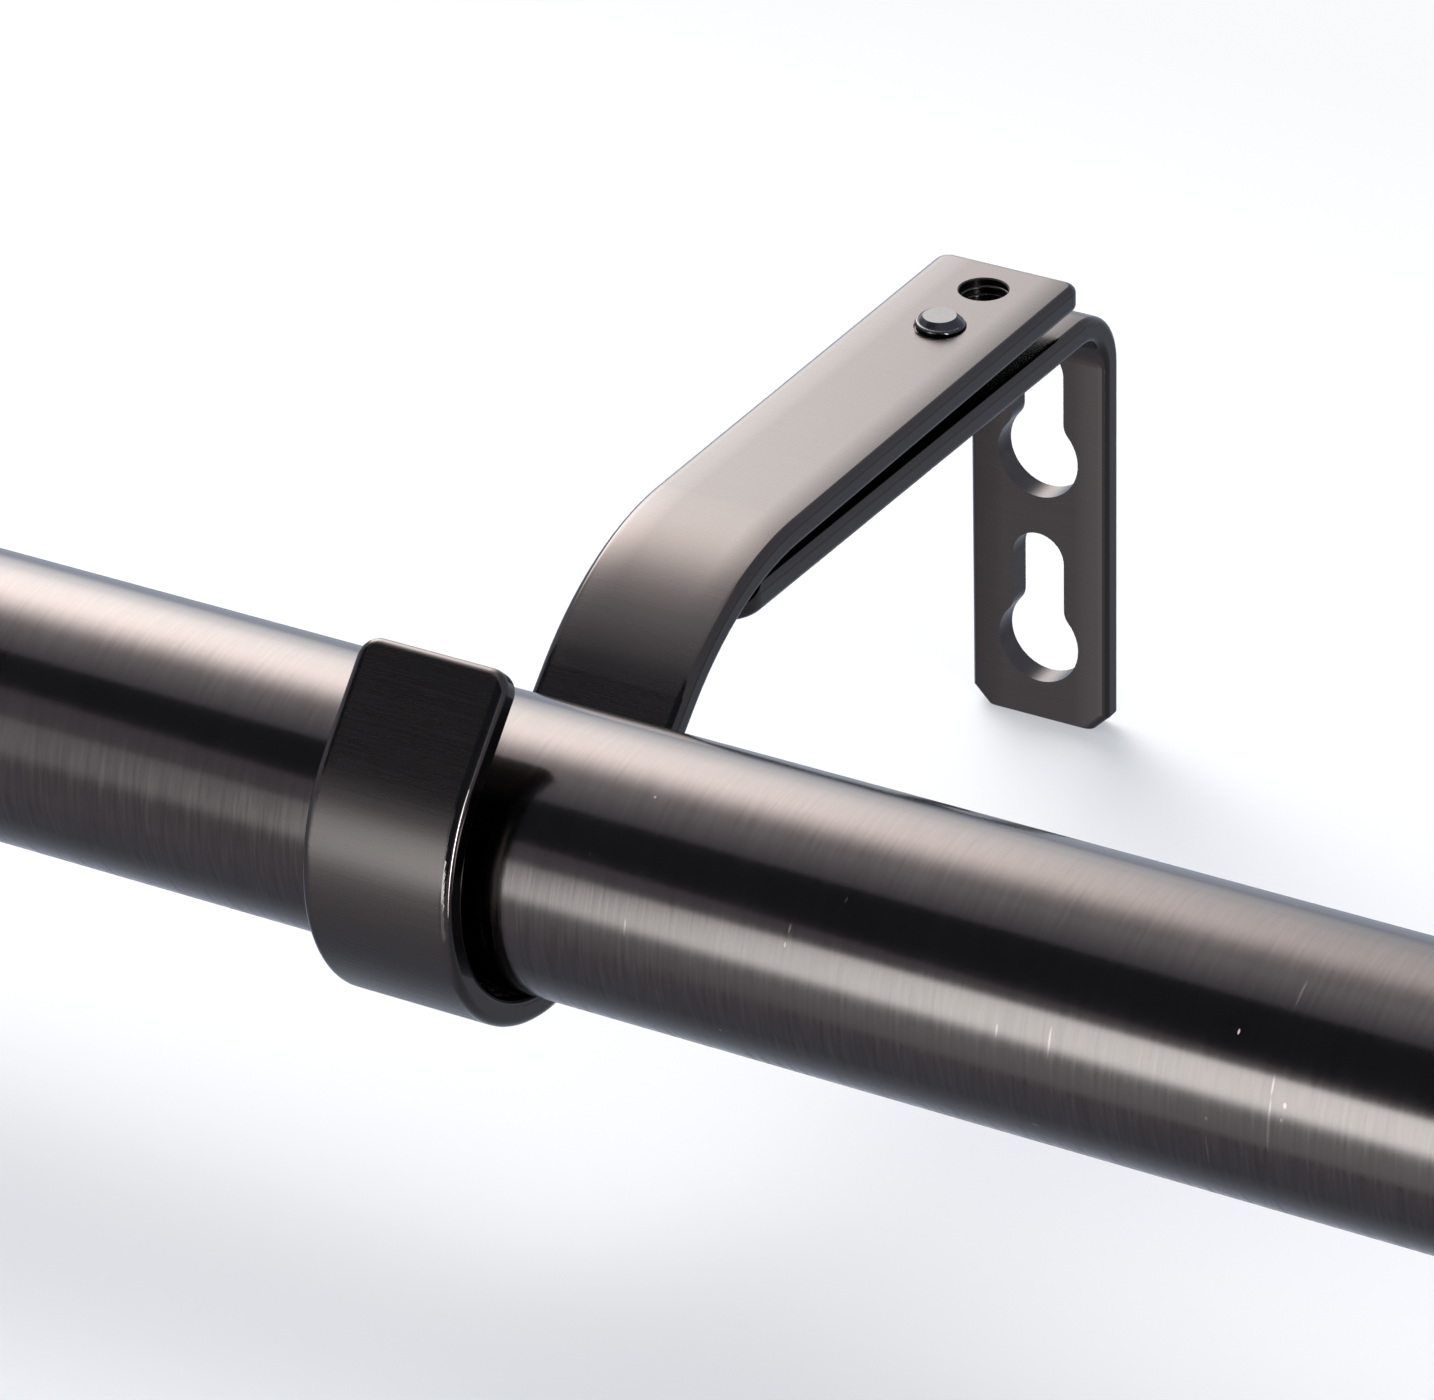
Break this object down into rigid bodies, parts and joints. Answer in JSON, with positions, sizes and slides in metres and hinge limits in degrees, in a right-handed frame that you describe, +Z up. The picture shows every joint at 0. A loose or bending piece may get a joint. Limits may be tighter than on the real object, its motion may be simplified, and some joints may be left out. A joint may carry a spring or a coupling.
{
  "type": "extendable curtain rod",
  "caption": "Telescoping round curtain rod with plain end caps, resting in two hooked flat bar brackets whose arms slide out from keyholed wall plates.",
  "frame": {"origin": "on the wall behind the left wall plate, midway between its two keyholes", "axes": "+X along the rod from the left bracket to the right one, +Y into the wall, +Z up"},
  "size_m": [0.7112, 0.1214, 0.0599],
  "materials": {
    "gunmetal_bar": "brushed flat bar in dark nickel",
    "gunmetal_tube": "brushed round tube in dark nickel",
    "gunmetal_cap": "turned caps in the colour of the tube",
    "dark_fastener": "black nickel, glossy",
    "black_nylon": "plain moulded black"
  },
  "bodies": {
    "wall_brackets": {"left_wall_bracket": "gunmetal_bar", "right_wall_bracket": "gunmetal_bar"},
    "left_arm": {"left_hook_arm": "gunmetal_bar", "left_clamp_screw": "dark_fastener", "left_lock_washer": "dark_fastener", "outer_tube": "gunmetal_tube", "mouth_bush": "black_nylon", "left_cap_plug": "black_nylon", "left_cap_stud": "dark_fastener", "left_end_cap": "gunmetal_cap"},
    "right_arm": {"right_hook_arm": "gunmetal_bar", "right_clamp_screw": "dark_fastener", "right_lock_washer": "dark_fastener"},
    "inner_rod": {"inner_tube": "gunmetal_tube", "end_glide": "black_nylon", "right_cap_plug": "black_nylon", "right_cap_stud": "dark_fastener", "right_end_cap": "gunmetal_cap"}
  },
  "joints": [
    {"name": "left_projection", "type": "slide", "parent": "wall_brackets", "child": "left_arm", "axis": [0, -0.9998, 0.0192], "range_m": [0, 0.0254]},
    {"name": "right_projection", "type": "slide", "parent": "wall_brackets", "child": "right_arm", "axis": [0, -0.9998, 0.0192], "range_m": [0, 0.0254]},
    {"name": "rod_extension", "type": "slide", "parent": "left_arm", "child": "inner_rod", "axis": [1, 0, 0], "range_m": [0, 0.508]}
  ],
  "couplings": [
    {"joint": "right_projection", "follows": "left_projection", "ratio": 1}
  ]
}
